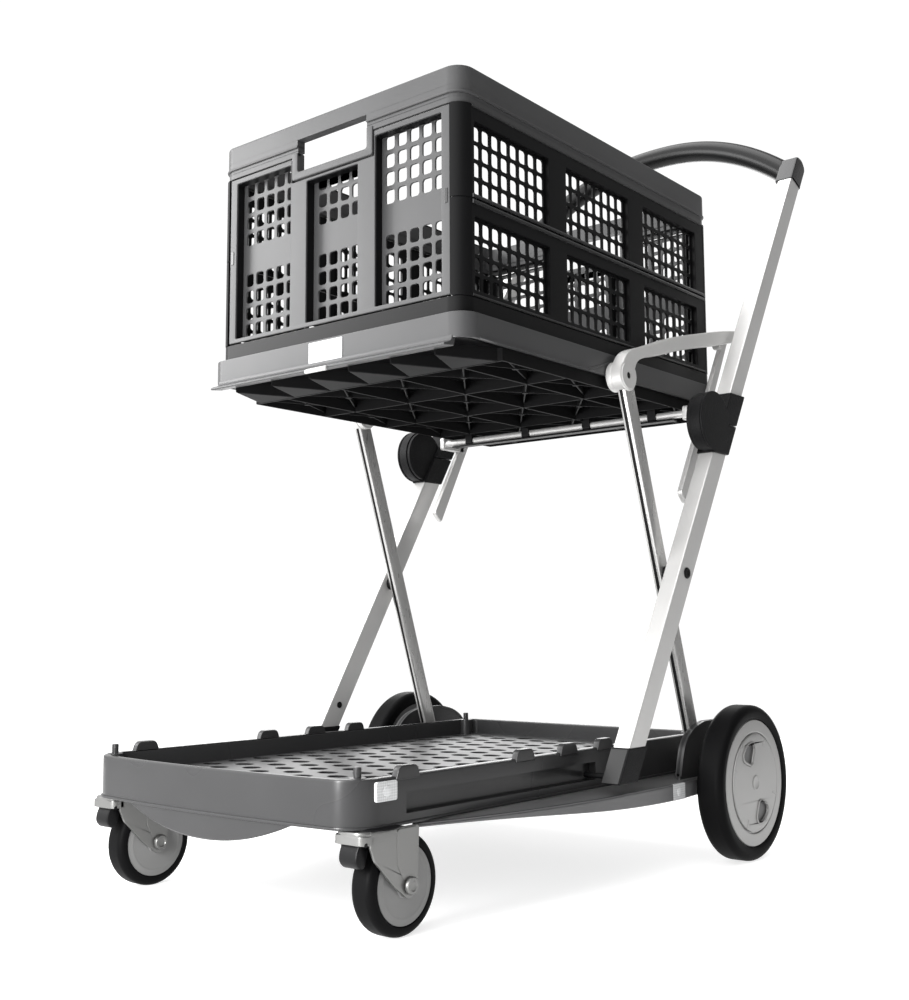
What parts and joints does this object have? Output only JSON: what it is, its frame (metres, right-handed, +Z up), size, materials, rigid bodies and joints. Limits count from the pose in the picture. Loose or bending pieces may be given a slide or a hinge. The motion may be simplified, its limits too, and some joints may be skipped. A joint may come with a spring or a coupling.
{
  "type": "folding shopping trolley",
  "caption": "Folding two-level shopping trolley: wheeled platform, scissor frame, upper tray with a lift-off grille crate, fold-down push handle.",
  "frame": {"origin": "on the floor under the middle of the trolley's outer box", "axes": "+X forward towards the swivel casters, +Y to the left side, +Z up"},
  "size_m": [0.9075, 0.557, 1.0275],
  "materials": {
    "grey_plastic": "satin moulded",
    "crate_grey": "satin moulded",
    "black_plastic": "satin moulded",
    "reflector": "clear prismatic",
    "tyre": "matt rubber",
    "grip_rubber": "soft satin rubber",
    "wheel_plastic": "silver painted plastic",
    "steel": "zinc plated",
    "aluminium": "satin anodised"
  },
  "bodies": {
    "platform": {"platform_tray": "grey_plastic", "rear_axle": "steel", "front_side_reflector_left": "reflector", "front_side_reflector_right": "reflector", "rear_side_reflector_left": "reflector", "rear_side_reflector_right": "reflector", "leg_base_pin_left": "steel", "leg_base_pin_right": "steel"},
    "inner_legs": {"inner_leg_left": "aluminium", "inner_leg_right": "aluminium", "cross_pivot_bolt_left": "steel", "cross_pivot_bolt_right": "steel"},
    "main_bars": {"main_bar_left": "aluminium", "main_bar_right": "aluminium", "foot_shoe_left": "black_plastic", "foot_shoe_right": "black_plastic", "lower_hub_left": "black_plastic", "lower_hub_right": "black_plastic"},
    "handle": {"handle_grip": "grip_rubber", "handle_bar_left": "aluminium", "handle_bar_right": "aluminium", "upper_hub_left": "black_plastic", "upper_hub_right": "black_plastic", "grip_end_cap_left": "black_plastic", "grip_end_cap_right": "black_plastic"},
    "upper_tray": {"upper_tray": "grey_plastic", "tray_front_reflector": "reflector", "tray_front_latch": "aluminium", "tray_cross_tube": "aluminium", "tray_arm_left": "aluminium", "tray_arm_right": "aluminium", "tray_pivot_pin_left": "steel", "tray_pivot_pin_right": "steel"},
    "crate": {"crate_base": "black_plastic", "crate_rim": "crate_grey", "crate_side_lower_left": "black_plastic", "crate_side_lower_right": "black_plastic", "crate_side_upper_left": "black_plastic", "crate_side_upper_right": "black_plastic"},
    "crate_end_front": {"crate_end_front": "crate_grey"},
    "crate_end_rear": {"crate_end_rear": "crate_grey"},
    "rear_wheel_left": {"rear_tyre_left": "tyre", "rear_rim_left": "black_plastic", "rear_wheel_cap_left": "wheel_plastic"},
    "caster_left": {"caster_fork_left": "steel", "caster_axle_bolt_left": "steel"},
    "caster_wheel_left": {"caster_tyre_left": "tyre", "caster_hub_left": "wheel_plastic"},
    "brake_left": {"brake_pedal_left": "black_plastic"},
    "rear_wheel_right": {"rear_tyre_right": "tyre", "rear_rim_right": "black_plastic", "rear_wheel_cap_right": "wheel_plastic"},
    "caster_right": {"caster_fork_right": "steel", "caster_axle_bolt_right": "steel"},
    "caster_wheel_right": {"caster_tyre_right": "tyre", "caster_hub_right": "wheel_plastic"},
    "brake_right": {"brake_pedal_right": "black_plastic"}
  },
  "joints": [
    {"name": "frame_fold", "type": "hinge", "parent": "platform", "child": "inner_legs", "pos_m": [-0.132, 0, 0.114], "axis": [0, 1, 0], "range_deg": [0, 55.49]},
    {"name": "main_bar_swing", "type": "hinge", "parent": "inner_legs", "child": "main_bars", "pos_m": [-0.058, 0, 0.335], "axis": [0, 1, 0], "range_deg": [-99.6, 0]},
    {"name": "tray_level", "type": "hinge", "parent": "inner_legs", "child": "upper_tray", "pos_m": [0.0175, 0, 0.5605], "axis": [0, 1, 0], "range_deg": [-55.5, 0]},
    {"name": "handle_fold", "type": "hinge", "parent": "main_bars", "child": "handle", "pos_m": [-0.136, 0, 0.524], "axis": [0, 1, 0], "range_deg": [0, 70]},
    {"name": "crate_lift", "type": "slide", "parent": "upper_tray", "child": "crate", "axis": [0, 0, 1], "range_m": [0, 0.06]},
    {"name": "crate_end_front_swing", "type": "hinge", "parent": "crate", "child": "crate_end_front", "pos_m": [0.279, 0, 0.8045], "axis": [0, 1, 0], "range_deg": [0, 88]},
    {"name": "crate_end_rear_swing", "type": "hinge", "parent": "crate", "child": "crate_end_rear", "pos_m": [-0.2406, 0, 0.8045], "axis": [0, -1, 0], "range_deg": [0, 88]},
    {"name": "rear_wheel_spin_left", "type": "hinge", "parent": "platform", "child": "rear_wheel_left", "pos_m": [-0.148, 0.262, 0.09], "axis": [0, 1, 0], "continuous": true},
    {"name": "caster_swivel_left", "type": "hinge", "parent": "platform", "child": "caster_left", "pos_m": [0.407, 0.179, 0.096], "axis": [0, 0, 1], "continuous": true},
    {"name": "caster_wheel_spin_left", "type": "hinge", "parent": "caster_left", "child": "caster_wheel_left", "pos_m": [0.377, 0.179, 0.046], "axis": [0, 1, 0], "continuous": true},
    {"name": "brake_press_left", "type": "hinge", "parent": "caster_left", "child": "brake_left", "pos_m": [0.433, 0.179, 0.088], "axis": [0, 1, 0], "range_deg": [0, 10]},
    {"name": "rear_wheel_spin_right", "type": "hinge", "parent": "platform", "child": "rear_wheel_right", "pos_m": [-0.148, -0.262, 0.09], "axis": [0, 1, 0], "continuous": true},
    {"name": "caster_swivel_right", "type": "hinge", "parent": "platform", "child": "caster_right", "pos_m": [0.407, -0.179, 0.096], "axis": [0, 0, 1], "continuous": true},
    {"name": "caster_wheel_spin_right", "type": "hinge", "parent": "caster_right", "child": "caster_wheel_right", "pos_m": [0.377, -0.179, 0.046], "axis": [0, 1, 0], "continuous": true},
    {"name": "brake_press_right", "type": "hinge", "parent": "caster_right", "child": "brake_right", "pos_m": [0.433, -0.179, 0.088], "axis": [0, 1, 0], "range_deg": [0, 10]}
  ],
  "couplings": [
    {"joint": "main_bar_swing", "follows": "frame_fold", "ratio": -1.7941},
    {"joint": "tray_level", "follows": "frame_fold", "ratio": -1}
  ]
}
